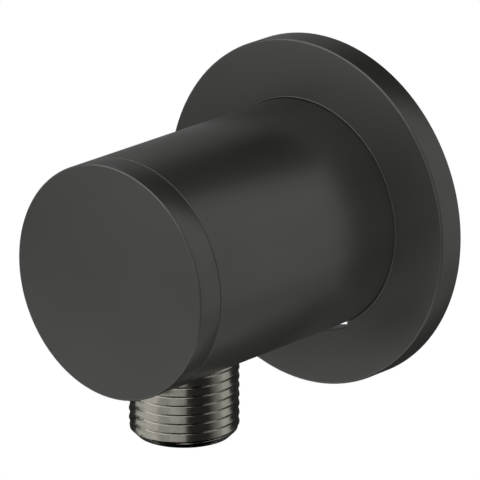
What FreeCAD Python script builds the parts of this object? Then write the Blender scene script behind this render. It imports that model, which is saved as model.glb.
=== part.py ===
"""A shower wall outlet elbow: a round housing on a wall rosette, with a G1/2 outlet that points down.

The origin is the centre of the rosette's back, in the plane of the wall. The housing reaches out of the wall
along -Y, the outlet points down along -Z, and X is to the right of someone who faces the wall. Millimetres.
"""
import FreeCAD, Part
import os
import re
import sys

import Sketcher

# Driving dimensions

DIMENSIONS = (
    ("rosette_radius", 34.1, "edge of the rosette"),
    ("rosette_depth", 5.63, "how far the rosette stands off the wall"),
    ("rosette_face_wall", 2.2, "thickness of the rosette's front plate"),
    ("rosette_rim_wall", 2.5, "thickness of its rim"),
    ("rosette_round", 0.25, "rounding of its front edge"),
    ("rosette_clearance", 0.35, "between the housing and the rosette's hole"),
    ("hole_bevel", 0.2, "bevel at the front of the rosette's hole"),
    ("notch_half_width", 11.4, "half the width of the drain notch below the hole"),
    ("notch_drop", 1.0, "how far the notch is below the hole"),
    ("notch_corner", 0.7, "rounding of the notch's corners"),
    ("foam_recess_width", 4.2, "recess for the foam ring, inside the rosette's rim"),
    ("foam_clearance", 0.2, "between the foam ring and its recess"),
    ("housing_radius", 22.55, "outside of the housing and of its cap"),
    ("front_reach", 21.18, "from the outlet's axis to the front face"),
    ("housing_wall_gap", 0.5, "between the housing and the wall"),
    ("shell_wall", 3.05, "thickness of the housing's shell"),
    ("web_wall", 4.0, "between the housing's rear recess and its front cavity"),
    ("inlet_boss_wall", 3.5, "round the bore that takes the spigot"),
    ("outlet_boss_wall", 2.0, "round the tapped hole of the outlet"),
    ("waterway_radius", 6.5, "water passage inside the housing"),
    ("collar_radius", 15.0, "collar of the wall nipple"),
    ("collar_length", 12.0, "how far the collar stands off the wall"),
    ("collar_wall_gap", 0.3, "between the collar's back and the wall"),
    ("collar_clearance", 0.2, "between the collar and the housing's recess"),
    ("recess_spare", 1.0, "between the end of the collar and the web"),
    ("spigot_radius", 10.0, "spigot of the wall nipple"),
    ("spigot_length", 15.0, "from the collar to the spigot's end"),
    ("spigot_clearance", 0.1, "between the spigot and its bore"),
    ("spigot_spare", 0.8, "between the end of the spigot and the end of its bore"),
    ("spigot_bevel", 0.8, "bevel at the spigot's end"),
    ("spigot_groove_depth", 1.5, "O-ring grooves in the spigot"),
    ("spigot_groove_width", 2.3, "O-ring grooves in the spigot"),
    ("first_groove", 4.5, "from the collar to the middle of the first groove"),
    ("groove_pitch", 5.0, "from one groove to the next"),
    ("inlet_bore_radius", 6.0, "bore of the wall nipple"),
    ("hex_across", 12.0, "key hexagon in the wall nipple, across its flats"),
    ("hex_depth", 12.0, "how deep the hexagon is"),
    ("screw_station", 8.5, "from the wall to the grub screw"),
    ("screw_radius", 2.4, "grub screw, M5"),
    ("screw_sink", 0.35, "how far the screw lies below the housing's surface"),
    ("screw_tip_gap", 0.5, "from the floor of the V groove to the screw's tip"),
    ("screw_tip_radius", 1.0, "flat tip of the grub screw"),
    ("screw_tip_length", 1.4, "its cone"),
    ("screw_key_across", 2.5, "its key hexagon, across the flats"),
    ("screw_key_depth", 3.0, "its key hexagon"),
    ("screw_clearance", 0.1, "between the screw and its tapped hole"),
    ("screw_groove_depth", 1.3, "V groove in the collar"),
    ("screw_groove_flat", 1.0, "half the width of the floor of the V groove"),
    ("thread_radius", 10.4775, "crests of G1/2"),
    ("thread_pitch", 1.8143, "G1/2"),
    ("thread_height", 1.162, "from root to crest of G1/2"),
    ("thread_land", 0.3, "width of a crest, and of a root"),
    ("inlet_thread_reach", 12.5, "from the wall to the end of the nipple's thread"),
    ("inlet_relief", 1.5, "from the wall to the start of its thread"),
    ("inlet_bevel", 1.5, "bevel at the end of its thread"),
    ("outlet_reach", 40.45, "from the wall to the outlet's axis"),
    ("outlet_drop", 35.0, "from the housing's axis to the outlet's end"),
    ("outlet_bevel", 1.5, "bevel at the outlet's end"),
    ("outlet_thread_gap", 0.25, "from the housing's lowest line to the first crest"),
    ("shank_radius", 10.2, "the part of the outlet nipple in the housing"),
    ("shank_clearance", 0.05, "between the shank and its tapped hole"),
    ("shank_top", 10.6, "from the housing's axis down to the top of the nipple"),
    ("shank_top_gap", 0.4, "over the nipple, to the roof of the tapped hole"),
    ("shank_groove_start", 1.3, "from the top of the nipple to its O-ring groove"),
    ("shank_groove_width", 2.2, "O-ring groove in the outlet nipple"),
    ("shank_groove_depth", 1.3, "O-ring groove in the outlet nipple"),
    ("nipple_mouth_radius", 6.3, "bore above the valve cartridge"),
    ("cartridge_shoulder", 20.0, "from the outlet's end up to the shoulder over the cartridge"),
    ("cartridge_bore_radius", 7.5, "bore that takes the valve cartridge"),
    ("cap_thickness", 5.65, "from the seam to the front face"),
    ("cap_face_wall", 2.8, "thickness of the cap's face"),
    ("cap_round", 0.35, "rounding of the cap's front edge"),
    ("seam_gap", 0.06, "between the cap and the housing"),
    ("seam_bevel", 0.12, "bevels beside the seam"),
    ("cap_spigot_length", 3.0, "the part of the cap inside the housing"),
    ("cap_spigot_wall", 2.7, "its thickness"),
    ("cap_spigot_clearance", 0.2, "between it and the shell"),
    ("cap_groove_depth", 1.3, "O-ring groove in the cap"),
    ("cap_groove_width", 1.7, "O-ring groove in the cap"),
    ("cap_boss_gap", 0.4, "between the cap's spigot and the outlet boss"),
    ("ring_play", 0.02, "between an O-ring and its groove"),
    ("cage_clearance", 0.1, "between the valve cage and its bore"),
    ("cage_top_gap", 0.05, "between the cage and the shoulder"),
    ("cage_length", 18.4, "valve cartridge"),
    ("cage_inner_radius", 6.3, "inside of the cage"),
    ("seat_radius", 4.4, "opening of the valve seat"),
    ("seat_thickness", 2.4, "wall that holds the seat"),
    ("cage_groove_start", 0.5, "from the cage's top to its O-ring groove"),
    ("cage_groove_width", 1.4, "O-ring groove in the cage"),
    ("cage_groove_depth", 1.1, "O-ring groove in the cage"),
    ("guide_thickness", 2.6, "spider that guides the stem"),
    ("guide_play", 0.1, "between the guide and its groove in the cage"),
    ("guide_groove_depth", 0.3, "groove in the cage that holds the guide"),
    ("guide_lip", 0.6, "from the cage's lower end to the guide's groove"),
    ("guide_ring_wall", 1.1, "outer ring of the guide"),
    ("guide_hub_radius", 3.4, "hub of the guide"),
    ("guide_rib_width", 1.2, "ribs of the guide"),
    ("guide_rib_count", 3, "ribs of the guide"),
    ("stem_radius", 1.2, "stem of the poppet"),
    ("stem_clearance", 0.2, "between the stem and the guide"),
    ("stem_length", 12.3, "below the poppet's head"),
    ("head_radius", 5.2, "poppet's head"),
    ("head_thickness", 1.4, "poppet's head"),
    ("nose_radius", 3.6, "poppet's nose, in the opening of the seat"),
    ("nose_length", 2.6, "poppet's nose"),
    ("nose_bevel", 1.6, "bevel at the top of the nose"),
    ("poppet_ring_thickness", 0.8, "rubber ring on the poppet's head"),
    ("seat_gap", 0.05, "between the rubber ring and the seat"),
    ("spring_wire_radius", 0.25, "wire of the valve spring"),
    ("spring_radius", 2.6, "middle of its coil"),
    ("spring_turns", 4.5, "turns of the coil"),
    ("spring_span", 1.0, "turns of the coil in one smooth piece of its surface"),
    ("spring_gap", 0.05, "between the spring and what it bears on"),
)

# Places worked out from the driving dimensions

PLACES = {
    "hole_radius": "housing_radius + rosette_clearance",
    "rim_inner_radius": "rosette_radius - rosette_rim_wall",
    "hub_radius": "rim_inner_radius - foam_recess_width",
    "foam_depth": "rosette_depth - rosette_face_wall",
    "cavity_radius": "housing_radius - shell_wall",
    "recess_radius": "collar_radius + collar_clearance",
    "recess_end": "collar_length + recess_spare",
    "cavity_floor": "recess_end + web_wall",
    "front_face": "outlet_reach + front_reach",
    "seam": "front_face - cap_thickness",
    "housing_front": "seam - seam_gap",
    "cap_spigot_end": "seam - cap_spigot_length",
    "boss_front": "cap_spigot_end - cap_boss_gap",
    "spigot_bore_radius": "spigot_radius + spigot_clearance",
    "spigot_end": "collar_length + spigot_length",
    "spigot_bore_end": "spigot_end + spigot_spare",
    "waterway_end": "outlet_reach + waterway_radius",
    "inlet_boss_radius": "spigot_bore_radius + inlet_boss_wall",
    "tapped_radius": "shank_radius + shank_clearance",
    "outlet_boss_radius": "tapped_radius + outlet_boss_wall",
    "tapped_roof": "shank_top - shank_top_gap",
    "screw_hole_radius": "screw_radius + screw_clearance",
    "screw_outer_end": "housing_radius - screw_sink",
    "screw_inner_end": "collar_radius - screw_groove_depth + screw_tip_gap",
    "thread_root_radius": "thread_radius - thread_height",
    "thread_groove_half": "(thread_pitch - thread_land) / 2",
    "thread_flank": "(thread_groove_half - thread_land / 2) / thread_height",
    "outlet_thread_top": "housing_radius + outlet_thread_gap",
    "outlet_thread_length": "outlet_drop - outlet_bevel - outlet_thread_top",
    "inlet_thread_length": "inlet_thread_reach - inlet_bevel - inlet_relief",
    "shoulder": "outlet_drop - cartridge_shoulder",
    "shank_groove_top": "shank_top + shank_groove_start",
    "shank_groove_radius": "shank_radius - shank_groove_depth",
    "spigot_groove_radius": "spigot_radius - spigot_groove_depth",
    "cap_spigot_radius": "cavity_radius - cap_spigot_clearance",
    "cap_hollow_radius": "cap_spigot_radius - cap_spigot_wall",
    "cap_groove_radius": "cap_spigot_radius - cap_groove_depth",
    "cap_groove_middle": "cap_spigot_end + cap_spigot_length / 2",
    "cage_radius": "cartridge_bore_radius - cage_clearance",
    "cage_top": "shoulder + cage_top_gap",
    "cage_bottom": "cage_top + cage_length",
    "cage_groove_top": "cage_top + cage_groove_start",
    "cage_groove_radius": "cage_radius - cage_groove_depth",
    "seat_face": "cage_top + seat_thickness",
    "guide_groove_radius": "cage_inner_radius + guide_groove_depth",
    "guide_groove_bottom": "cage_bottom - guide_lip",
    "guide_bottom": "guide_groove_bottom - guide_play",
    "guide_top": "guide_bottom - guide_thickness",
    "guide_groove_top": "guide_top - guide_play",
    "guide_radius": "guide_groove_radius - guide_play",
    "ring_top": "seat_face + seat_gap",
    "head_top": "ring_top + poppet_ring_thickness",
    "head_bottom": "head_top + head_thickness",
    "stem_end": "head_bottom + stem_length",
    "spring_top": "head_bottom + spring_gap + spring_wire_radius",
    "spring_bottom": "guide_top - spring_gap - spring_wire_radius",
}

doc = FreeCAD.newDocument("outlet_elbow")
sheet = doc.addObject("Spreadsheet::Sheet", "Sizes")
for row, (alias, number, meaning) in enumerate(DIMENSIONS, 1):
    sheet.set(f"A{row}", meaning)
    sheet.set(f"B{row}", str(number))
    sheet.setAlias(f"B{row}", alias)
doc.recompute()

ALIASES = {alias for alias, number, meaning in DIMENSIONS}
PARTS = []


def bound(text):
    """The expression with each place written out, and each size read from the sheet."""

    def looked_up(word):
        name = word[0]
        if name in ALIASES:
            return f"Sizes.{name}"
        return f"({bound(PLACES[name])})" if name in PLACES else name

    return re.sub(r"[a-z]\w*", looked_up, text)


def size(text):
    """What the expression comes to, in millimetres."""
    return float(sheet.evalExpression(bound(text)))


def bind(thing, **properties):
    """Tie properties to expressions; two underscores in a name stand for a dot."""
    for name, text in properties.items():
        thing.setExpression(name.replace("__", "."), bound(text))


def new_body(name):
    """A body that becomes the piece of that name."""
    body = doc.addObject("PartDesign::Body", name)
    body.Label = name
    PARTS.append(body)
    return body


def sketch_on(body, name, role, offset="0"):
    """A sketch on one of the body's own planes, moved along the plane's normal."""
    sketch = body.newObject("Sketcher::SketchObject", name)
    plane = next(f for f in body.Origin.OriginFeatures if f.Role == role)
    sketch.AttachmentSupport = (plane, "")
    sketch.MapMode = "FlatFace"
    if offset != "0":
        bind(sketch, AttachmentOffset__Base__z=offset)
    doc.recompute()
    return sketch


def fix_point(sketch, geometry, end, x, y):
    """Place one end of a line or arc, or a centre, at the two expressions from the sketch's origin."""
    for kind, text, axis in (("DistanceX", x, -2), ("DistanceY", y, -1)):
        if text == "0":
            sketch.addConstraint(Sketcher.Constraint("PointOnObject", geometry, end, axis))
            continue
        number = sketch.addConstraint(Sketcher.Constraint(kind, -1, 1, geometry, end, size(text)))
        sketch.setExpression(f"Constraints[{number}]", bound(text))


def outline(sketch, points):
    """A closed outline of straight lines through points that are pairs of expressions."""
    places = [FreeCAD.Vector(size(x), size(y), 0) for x, y in points]
    lines = [
        sketch.addGeometry(Part.LineSegment(start, end))
        for start, end in zip(places, places[1:] + places[:1])
    ]
    for line, after in zip(lines, lines[1:] + lines[:1]):
        sketch.addConstraint(Sketcher.Constraint("Coincident", line, 2, after, 1))
    for line, (x, y) in zip(lines, points):
        fix_point(sketch, line, 1, x, y)


def circle(sketch, radius, x="0", y="0"):
    """A circle of that radius about the two expressions."""
    middle = FreeCAD.Vector(size(x), size(y), 0)
    ring = sketch.addGeometry(Part.Circle(middle, FreeCAD.Vector(0, 0, 1), size(radius)))
    fix_point(sketch, ring, 3, x, y)
    number = sketch.addConstraint(Sketcher.Constraint("Radius", ring, size(radius)))
    sketch.setExpression(f"Constraints[{number}]", bound(radius))


def hexagon(sketch, across):
    """A hexagon about the origin, with that distance across its flats and two flats level."""
    half = f"({across}) / 2"
    corner = f"({across}) / sqrt(3)"
    outline(sketch, [
        (corner, "0"), (f"{corner} / 2", half), (f"-{corner} / 2", half),
        (f"-{corner}", "0"), (f"-{corner} / 2", f"-{half}"), (f"{corner} / 2", f"-{half}"),
    ])


def turned(body, name, role, axis, points, kind="PartDesign::Revolution"):
    """Turn an outline about the sketch's own axis, to add it or, as a groove, to cut it away."""
    sketch = sketch_on(body, f"{name}_profile", role)
    outline(sketch, points)
    feature = body.newObject(kind, name)
    feature.Profile = sketch
    feature.ReferenceAxis = (sketch, [axis])
    feature.Angle = 360
    body.Tip = feature
    doc.recompute()
    return feature


def cut_from(body, name, sketch, depth, reverse=False):
    """Cut the sketch's shape to a depth; without reverse it goes against the sketch's normal."""
    before = body.Shape.Volume
    feature = body.newObject("PartDesign::Pocket", name)
    feature.Profile = sketch
    feature.Reversed = reverse
    bind(feature, Length=depth)
    body.Tip = feature
    doc.recompute()
    if body.Shape.Volume > before - 1e-3:
        sys.exit(f"{name} cuts nothing")
    return feature


def edges_at(body, radius, level, direction):
    """Names of the round edges of that radius whose centre lies at that level along an axis."""
    return [
        f"Edge{number}"
        for number, edge in enumerate(body.Shape.Edges, 1)
        if isinstance(edge.Curve, Part.Circle)
        and abs(edge.Curve.Radius - size(radius)) < 1e-3
        and abs(edge.Curve.Center.dot(direction) - size(level)) < 1e-3
    ]


def dress(body, kind, name, edges, amount):
    """Round or bevel edges of the body."""
    if not edges:
        sys.exit(f"{name} found no edge")
    dressed = body.Tip
    feature = body.newObject(kind, name)
    feature.Base = (dressed, edges)
    bind(feature, **{"Radius" if kind == "PartDesign::Fillet" else "Size": amount})
    body.Tip = feature
    doc.recompute()


def thread_ridges(body, name, role, axis, pattern_axis, sign, start, length):
    """Cut the G1/2 profile as rings: one V groove, repeated at the pitch along the thread."""
    first = f"{start} + thread_land + thread_groove_half"
    beyond = "thread_radius + thread_land"
    widest = "(thread_groove_half + thread_flank * thread_land)"
    corners = [
        (f"{first} - {widest}", beyond), (f"{first} - thread_land / 2", "thread_root_radius"),
        (f"{first} + thread_land / 2", "thread_root_radius"), (f"{first} + {widest}", beyond),
    ]
    if axis == "V_Axis":
        corners = [(radius, f"{sign}({along})") for along, radius in corners]
    else:
        corners = [(f"{sign}({along})", radius) for along, radius in corners]
    groove = turned(body, f"{name}_groove", role, axis, corners, "PartDesign::Groove")
    pattern = body.newObject("PartDesign::LinearPattern", f"{name}_turns")
    pattern.Originals = [groove]
    pattern.Direction = (groove.Profile[0], [pattern_axis])
    pattern.Reversed = sign == "-"
    pattern.Mode = "Spacing"
    bind(pattern, Offset="thread_pitch", Occurrences=f"floor(({length}) / thread_pitch) + 1")
    body.Tip = pattern
    doc.recompute()


def ring(name, outer, inner, start, length):
    """A plain ring about the housing's axis, from a start to a start plus length off the wall."""
    tubes = []
    for radius, kind in ((outer, "outside"), (inner, "inside")):
        tube = doc.addObject("Part::Cylinder", f"{name}_{kind}")
        tube.Placement = FreeCAD.Placement(FreeCAD.Vector(), FreeCAD.Rotation(FreeCAD.Vector(1, 0, 0), 90))
        bind(tube, Radius=radius, Height=length, Placement__Base__y=f"-({start})")
        tubes.append(tube)
    cut = doc.addObject("Part::Cut", name)
    cut.Label = name
    cut.Base, cut.Tool = tubes
    PARTS.append(cut)


def o_ring(name, groove_radius, bore_radius):
    """A torus, squeezed between the floor of its groove and the bore around it."""
    torus = doc.addObject("Part::Torus", name)
    bind(
        torus,
        Radius1=f"(({groove_radius}) + ({bore_radius})) / 2",
        Radius2=f"(({bore_radius}) - ({groove_radius})) / 2 - ring_play",
    )
    return torus


ALONG_BODY = FreeCAD.Rotation(FreeCAD.Vector(1, 0, 0), 90)


def make_rosette():
    """The cover plate: hollow behind, with a rim, a hub round its hole and a drain notch in the hub."""
    body = new_body("rosette")
    turned(body, "plate", "YZ_Plane", "H_Axis", [
        ("0", "hole_radius"), ("0", "hub_radius"), ("-foam_depth", "hub_radius"),
        ("-foam_depth", "rim_inner_radius"), ("0", "rim_inner_radius"), ("0", "rosette_radius"),
        ("-rosette_depth", "rosette_radius"), ("-rosette_depth", "hole_radius"),
    ])
    outward = FreeCAD.Vector(0, -1, 0)
    dress(body, "PartDesign::Chamfer", "hole_edge", edges_at(body, "hole_radius", "rosette_depth", outward),
          "hole_bevel")
    dress(body, "PartDesign::Fillet", "front_edge", edges_at(body, "rosette_radius", "rosette_depth", outward),
          "rosette_round")
    notch = sketch_on(body, "notch_outline", "XZ_Plane")
    notch_shape(notch)
    cut_from(body, "drain_notch", notch, "2 * rosette_depth", reverse=True)


def notch_shape(sketch):
    """A round-cornered notch below the hole, whose floor is an arc about the housing's axis."""
    floor_radius = "hole_radius + notch_drop"
    corner_x = "(notch_half_width - notch_corner)"
    corner_span = f"({floor_radius} - notch_corner)"
    corner_y = f"-sqrt({corner_span} ^ 2 - {corner_x} ^ 2)"
    inner_y = "-hole_radius / 2"
    reach = f"({floor_radius}) / {corner_span}"
    vector = FreeCAD.Vector
    normal = vector(0, 0, 1)
    side, x, y = size("notch_half_width"), size(corner_x), size(corner_y)
    floor_x, floor_y = x * size(reach), y * size(reach)
    bend = size("notch_corner")
    turn = FreeCAD.Vector(x, y, 0)
    down = turn.getAngle(vector(0, -1, 0))

    def arc(middle, radius, start, end):
        return Part.ArcOfCircle(Part.Circle(middle, normal, radius), start, end)

    quarter = FreeCAD.Units.Quantity("90 deg").getValueAs("rad").Value
    top = sketch.addGeometry(Part.LineSegment(vector(side, size(inner_y), 0), vector(-side, size(inner_y), 0)))
    left = sketch.addGeometry(Part.LineSegment(vector(-side, size(inner_y), 0), vector(-side, y, 0)))
    left_bend = sketch.addGeometry(arc(vector(-x, y, 0), bend, 2 * quarter, 3 * quarter - down))
    floor = sketch.addGeometry(arc(vector(0, 0, 0), size(floor_radius), 3 * quarter - down, 3 * quarter + down))
    right_bend = sketch.addGeometry(arc(vector(x, y, 0), bend, 3 * quarter + down, 4 * quarter))
    right = sketch.addGeometry(Part.LineSegment(vector(side, y, 0), vector(side, size(inner_y), 0)))
    for joined in (
        ("Coincident", top, 2, left, 1), ("Coincident", right, 2, top, 1), ("Tangent", left, 2, left_bend, 1),
        ("Tangent", left_bend, 2, floor, 1), ("Tangent", floor, 2, right_bend, 1),
        ("Tangent", right_bend, 2, right, 1), ("Coincident", floor, 3, -1, 1), ("Vertical", left),
        ("Vertical", right), ("Equal", left_bend, right_bend),
    ):
        sketch.addConstraint(Sketcher.Constraint(*joined))
    fix_point(sketch, top, 1, "notch_half_width", inner_y)
    fix_point(sketch, top, 2, "-notch_half_width", inner_y)
    for rounded, radius in ((floor, floor_radius), (left_bend, "notch_corner")):
        number = sketch.addConstraint(Sketcher.Constraint("Radius", rounded, size(radius)))
        sketch.setExpression(f"Constraints[{number}]", bound(radius))


def make_housing():
    """The body of the elbow: a shell, a web, and a boss in its front cavity that holds the waterway."""
    body = new_body("housing")
    turned(body, "turned_shell", "YZ_Plane", "H_Axis", [
        ("-housing_wall_gap", "recess_radius"), ("-housing_wall_gap", "housing_radius"),
        ("-(housing_front - seam_bevel)", "housing_radius"), ("-housing_front", "housing_radius - seam_bevel"),
        ("-housing_front", "cavity_radius"), ("-boss_front", "cavity_radius"), ("-boss_front", "0"),
        ("-waterway_end", "0"), ("-waterway_end", "waterway_radius"), ("-spigot_bore_end", "waterway_radius"),
        ("-spigot_bore_end", "spigot_bore_radius"), ("-recess_end", "spigot_bore_radius"),
        ("-recess_end", "recess_radius"),
    ])
    cavity = sketch_on(body, "cavity_outline", "XZ_Plane", "boss_front")
    cavity_shape(cavity)
    cut_from(body, "front_cavity", cavity, "boss_front - cavity_floor")
    drop = sketch_on(body, "drop_outline", "XY_Plane")
    circle(drop, "waterway_radius", "0", "-outlet_reach")
    cut_from(body, "drop_bore", drop, "shank_top")
    tapped = sketch_on(body, "tapped_outline", "XY_Plane", "-tapped_roof")
    circle(tapped, "tapped_radius", "0", "-outlet_reach")
    cut_from(body, "tapped_hole", tapped, "housing_radius")
    screw = sketch_on(body, "screw_outline", "XY_Plane", "-collar_radius / 2")
    circle(screw, "screw_hole_radius", "0", "-screw_station")
    cut_from(body, "screw_hole", screw, "housing_radius")


def cavity_shape(sketch):
    """The space round the boss: between the shell and a round inlet boss that stands on the outlet boss."""
    vector = FreeCAD.Vector
    normal = vector(0, 0, 1)
    outer, inner, side = size("cavity_radius"), size("inlet_boss_radius"), size("outlet_boss_radius")
    outer_y, inner_y = -(outer**2 - side**2) ** 0.5, -(inner**2 - side**2) ** 0.5
    down = vector(0, -1, 0)
    quarter = FreeCAD.Units.Quantity("90 deg").getValueAs("rad").Value
    outer_turn = vector(side, outer_y, 0).getAngle(down)
    inner_turn = vector(side, inner_y, 0).getAngle(down)
    shell = sketch.addGeometry(Part.ArcOfCircle(
        Part.Circle(vector(), normal, outer), -quarter + outer_turn, 3 * quarter - outer_turn))
    boss = sketch.addGeometry(Part.ArcOfCircle(
        Part.Circle(vector(), normal, inner), -quarter + inner_turn, 3 * quarter - inner_turn))
    left = sketch.addGeometry(Part.LineSegment(vector(-side, outer_y, 0), vector(-side, inner_y, 0)))
    right = sketch.addGeometry(Part.LineSegment(vector(side, inner_y, 0), vector(side, outer_y, 0)))
    for joined in (
        ("Coincident", shell, 2, left, 1), ("Coincident", left, 2, boss, 2), ("Coincident", boss, 1, right, 1),
        ("Coincident", right, 2, shell, 1), ("Coincident", shell, 3, -1, 1), ("Coincident", boss, 3, -1, 1),
        ("Vertical", left), ("Vertical", right),
    ):
        sketch.addConstraint(Sketcher.Constraint(*joined))
    for rounded, radius in ((shell, "cavity_radius"), (boss, "inlet_boss_radius")):
        number = sketch.addConstraint(Sketcher.Constraint("Radius", rounded, size(radius)))
        sketch.setExpression(f"Constraints[{number}]", bound(radius))
    for line, text in ((left, "-outlet_boss_radius"), (right, "outlet_boss_radius")):
        number = sketch.addConstraint(Sketcher.Constraint("DistanceX", -1, 1, line, 1, size(text)))
        sketch.setExpression(f"Constraints[{number}]", bound(text))


def make_front_cap():
    """The front disc, a shallow cup whose short spigot fits into the housing."""
    body = new_body("front_cap")
    turned(body, "cup", "YZ_Plane", "H_Axis", [
        ("-front_face", "0"), ("-front_face", "housing_radius"), ("-(seam + seam_bevel)", "housing_radius"),
        ("-seam", "housing_radius - seam_bevel"), ("-seam", "cap_spigot_radius"),
        ("-cap_spigot_end", "cap_spigot_radius"), ("-cap_spigot_end", "cap_hollow_radius"),
        ("-(front_face - cap_face_wall)", "cap_hollow_radius"), ("-(front_face - cap_face_wall)", "0"),
    ])
    turned(body, "ring_groove", "YZ_Plane", "H_Axis", [
        ("-(cap_groove_middle - cap_groove_width / 2)", "cap_groove_radius"),
        ("-(cap_groove_middle - cap_groove_width / 2)", "cavity_radius"),
        ("-(cap_groove_middle + cap_groove_width / 2)", "cavity_radius"),
        ("-(cap_groove_middle + cap_groove_width / 2)", "cap_groove_radius"),
    ], "PartDesign::Groove")
    outward = FreeCAD.Vector(0, -1, 0)
    dress(body, "PartDesign::Fillet", "front_edge", edges_at(body, "housing_radius", "front_face", outward),
          "cap_round")


def make_wall_nipple():
    """The nipple in the wall: G1/2 thread, a collar on the wall with a V groove, and a spigot with two grooves."""
    body = new_body("wall_nipple")
    vee = "(screw_groove_flat + screw_groove_depth)"
    turned(body, "turned_blank", "YZ_Plane", "H_Axis", [
        ("inlet_thread_reach", "inlet_bore_radius"), ("inlet_thread_reach", "thread_radius - inlet_bevel"),
        ("inlet_thread_reach - inlet_bevel", "thread_radius"), ("inlet_relief", "thread_radius"),
        ("inlet_relief", "thread_root_radius"), ("-collar_wall_gap", "thread_root_radius"),
        ("-collar_wall_gap", "collar_radius"),
        (f"-(screw_station - {vee})", "collar_radius"),
        ("-(screw_station - screw_groove_flat)", "collar_radius - screw_groove_depth"),
        ("-(screw_station + screw_groove_flat)", "collar_radius - screw_groove_depth"),
        (f"-(screw_station + {vee})", "collar_radius"), ("-collar_length", "collar_radius"),
        ("-collar_length", "spigot_radius"), ("-(spigot_end - spigot_bevel)", "spigot_radius"),
        ("-spigot_end", "spigot_radius - spigot_bevel"), ("-spigot_end", "inlet_bore_radius"),
    ])
    for number in range(2):
        middle = f"collar_length + first_groove + {number} * groove_pitch"
        turned(body, f"ring_groove_{number}", "YZ_Plane", "H_Axis", [
            (f"-({middle} - spigot_groove_width / 2)", "spigot_groove_radius"),
            (f"-({middle} - spigot_groove_width / 2)", "spigot_bore_radius"),
            (f"-({middle} + spigot_groove_width / 2)", "spigot_bore_radius"),
            (f"-({middle} + spigot_groove_width / 2)", "spigot_groove_radius"),
        ], "PartDesign::Groove")
    thread_ridges(body, "thread", "YZ_Plane", "H_Axis", "H_Axis", "", "inlet_relief", "inlet_thread_length")
    key = sketch_on(body, "key_outline", "XZ_Plane", "spigot_end")
    hexagon(key, "hex_across")
    cut_from(body, "key_hexagon", key, "hex_depth")


def make_spigot_o_rings():
    """Two O-rings in the spigot's grooves."""
    rings = []
    for number in range(2):
        torus = o_ring(f"spigot_ring_{number}", "spigot_groove_radius", "spigot_bore_radius")
        torus.Placement = FreeCAD.Placement(FreeCAD.Vector(), ALONG_BODY)
        bind(torus, Placement__Base__y=f"-(collar_length + first_groove + {number} * groove_pitch)")
        rings.append(torus)
    pair = doc.addObject("Part::Compound", "spigot_o_rings")
    pair.Label = "spigot_o_rings"
    pair.Links = rings
    PARTS.append(pair)


def make_cap_o_ring():
    """The O-ring that holds the cap in the housing."""
    torus = o_ring("cap_o_ring", "cap_groove_radius", "cavity_radius")
    torus.Label = "cap_o_ring"
    torus.Placement = FreeCAD.Placement(FreeCAD.Vector(), ALONG_BODY)
    bind(torus, Placement__Base__y="-cap_groove_middle")
    PARTS.append(torus)


def make_outlet_rings():
    """The O-rings round the outlet nipple's top and round the valve cartridge."""
    for name, groove, bore, middle in (
        ("outlet_o_ring", "shank_groove_radius", "tapped_radius", "shank_groove_top + shank_groove_width / 2"),
        ("valve_o_ring", "cage_groove_radius", "cartridge_bore_radius", "cage_groove_top + cage_groove_width / 2"),
    ):
        torus = o_ring(name, groove, bore)
        torus.Label = name
        bind(torus, Placement__Base__y="-outlet_reach", Placement__Base__z=f"-({middle})")
        PARTS.append(torus)


def make_grub_screw():
    """The clamping screw, with a cone point and a key hexagon, upright below the collar's groove."""
    body = new_body("grub_screw")
    bind(body, Placement__Base__y="-screw_station")
    turned(body, "turned_screw", "XZ_Plane", "V_Axis", [
        ("0", "-screw_outer_end"), ("screw_radius", "-screw_outer_end"),
        ("screw_radius", "-(screw_inner_end + screw_tip_length)"), ("screw_tip_radius", "-screw_inner_end"),
        ("0", "-screw_inner_end"),
    ])
    key = sketch_on(body, "key_outline", "XY_Plane", "-screw_outer_end")
    hexagon(key, "screw_key_across")
    cut_from(body, "key_hexagon", key, "screw_key_depth", reverse=True)


def make_outlet_nipple():
    """The G1/2 outlet, screwed up into the housing, with a shoulder inside for the valve cartridge."""
    body = new_body("outlet_nipple")
    bind(body, Placement__Base__y="-outlet_reach")
    turned(body, "turned_blank", "XZ_Plane", "V_Axis", [
        ("nipple_mouth_radius", "-shank_top"), ("shank_radius", "-shank_top"),
        ("shank_radius", "-shank_groove_top"), ("shank_groove_radius", "-shank_groove_top"),
        ("shank_groove_radius", "-(shank_groove_top + shank_groove_width)"),
        ("shank_radius", "-(shank_groove_top + shank_groove_width)"), ("shank_radius", "-outlet_thread_top"),
        ("thread_radius", "-outlet_thread_top"), ("thread_radius", "-(outlet_drop - outlet_bevel)"),
        ("thread_radius - outlet_bevel", "-outlet_drop"), ("cartridge_bore_radius", "-outlet_drop"),
        ("cartridge_bore_radius", "-shoulder"), ("nipple_mouth_radius", "-shoulder"),
    ])
    thread_ridges(body, "thread", "XZ_Plane", "V_Axis", "V_Axis", "-", "outlet_thread_top",
                  "outlet_thread_length")


def make_valve_cage():
    """The tube of the non-return valve, with the seat at its top and a groove inside that holds the guide."""
    body = new_body("valve_cage")
    bind(body, Placement__Base__y="-outlet_reach")
    turned(body, "moulded_cage", "XZ_Plane", "V_Axis", [
        ("seat_radius", "-cage_top"), ("cage_radius", "-cage_top"), ("cage_radius", "-cage_groove_top"),
        ("cage_groove_radius", "-cage_groove_top"),
        ("cage_groove_radius", "-(cage_groove_top + cage_groove_width)"),
        ("cage_radius", "-(cage_groove_top + cage_groove_width)"), ("cage_radius", "-cage_bottom"),
        ("cage_inner_radius", "-cage_bottom"), ("cage_inner_radius", "-guide_groove_bottom"),
        ("guide_groove_radius", "-guide_groove_bottom"), ("guide_groove_radius", "-guide_groove_top"),
        ("cage_inner_radius", "-guide_groove_top"), ("cage_inner_radius", "-seat_face"),
        ("seat_radius", "-seat_face"),
    ])


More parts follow.
